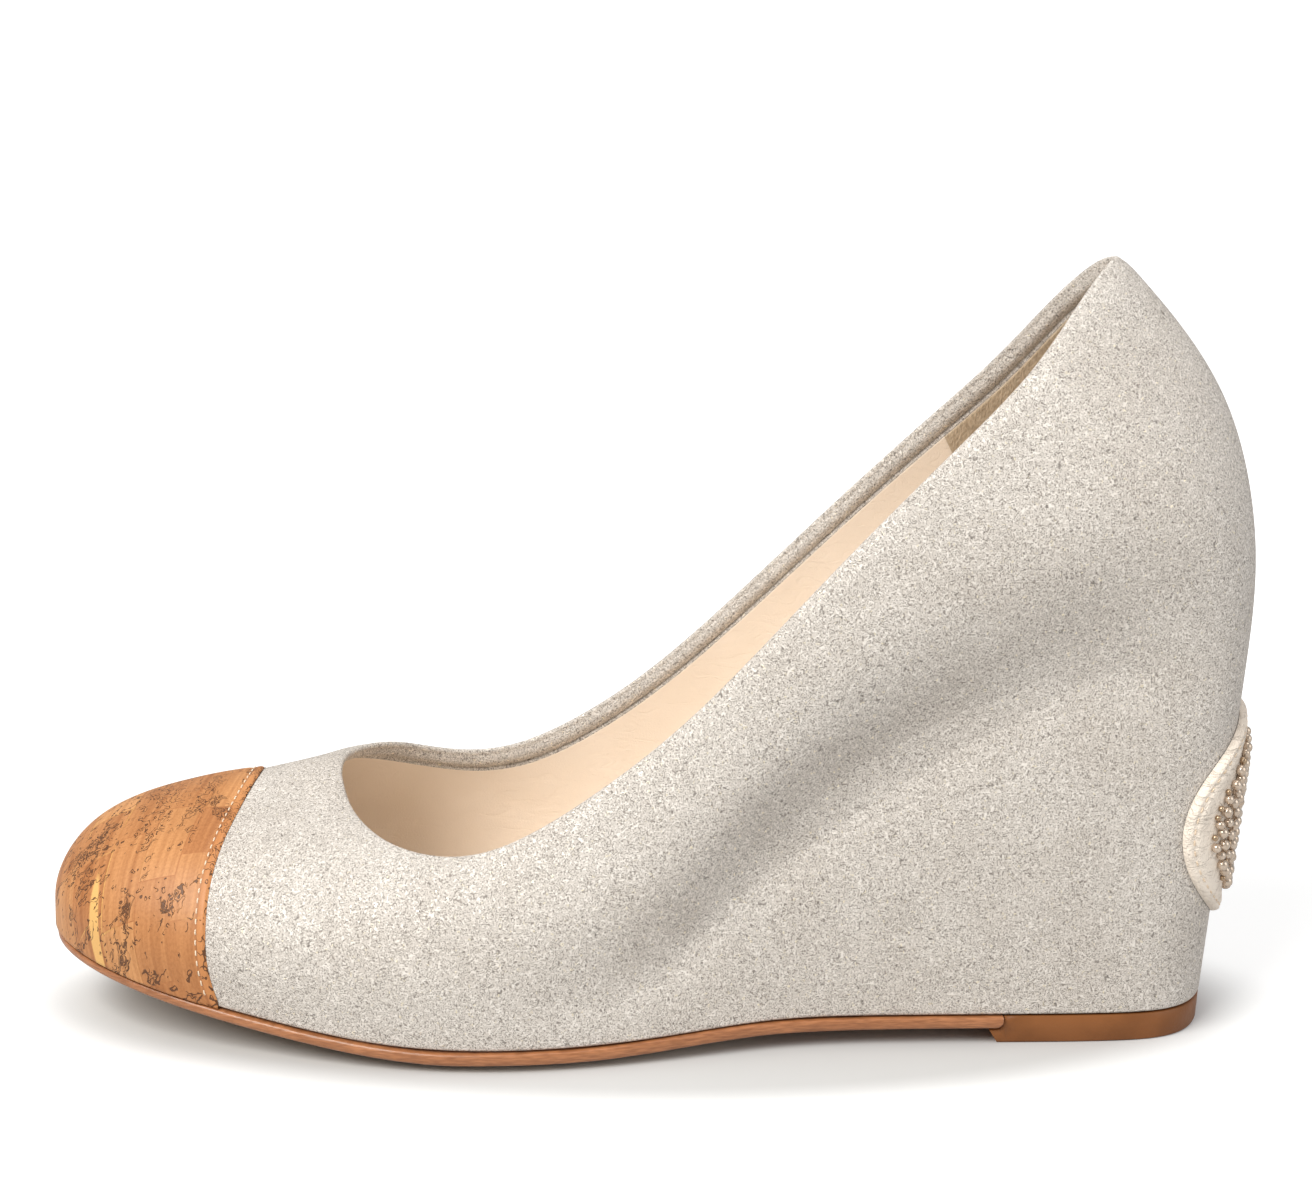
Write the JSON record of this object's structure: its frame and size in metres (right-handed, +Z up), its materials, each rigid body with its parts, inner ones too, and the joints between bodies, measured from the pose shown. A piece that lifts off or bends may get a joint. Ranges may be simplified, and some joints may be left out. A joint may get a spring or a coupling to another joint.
{
  "type": "wedge pump",
  "caption": "Closed-toe wedge pump with a cork toe cap, a covered wedge heel, a leather sole and a beaded oval patch on its back.",
  "frame": {"origin": "on the floor, under the middle of the box round the shoe", "axes": "+X from the toe to the heel, +Y to the inner side of the foot, +Z up"},
  "size_m": [0.2283, 0.0801, 0.143],
  "materials": {
    "upper_fabric": "silver-grey crackled metallic suede cloth with a fine golden glitter",
    "cork": "natural cork veneer pieced from blocks, satin",
    "wedge_block": "rigid moulded block, hidden by the upper",
    "insole_leather": "smooth pale beige lining leather",
    "sole_leather": "tan-brown sole leather with a waxed edge",
    "top_lift_rubber": "bronze-brown, slightly glossy",
    "patch_leather": "cream leather with stitched edge",
    "beads": "round champagne and pearl beads"
  },
  "bodies": {
    "root": {"upper": "upper_fabric", "toe_cap": "cork", "wedge_core": "wedge_block", "insole": "insole_leather", "outsole": "sole_leather", "top_lift": "top_lift_rubber", "heel_patch": "patch_leather", "bead_bed": "beads"}
  },
  "joints": []
}
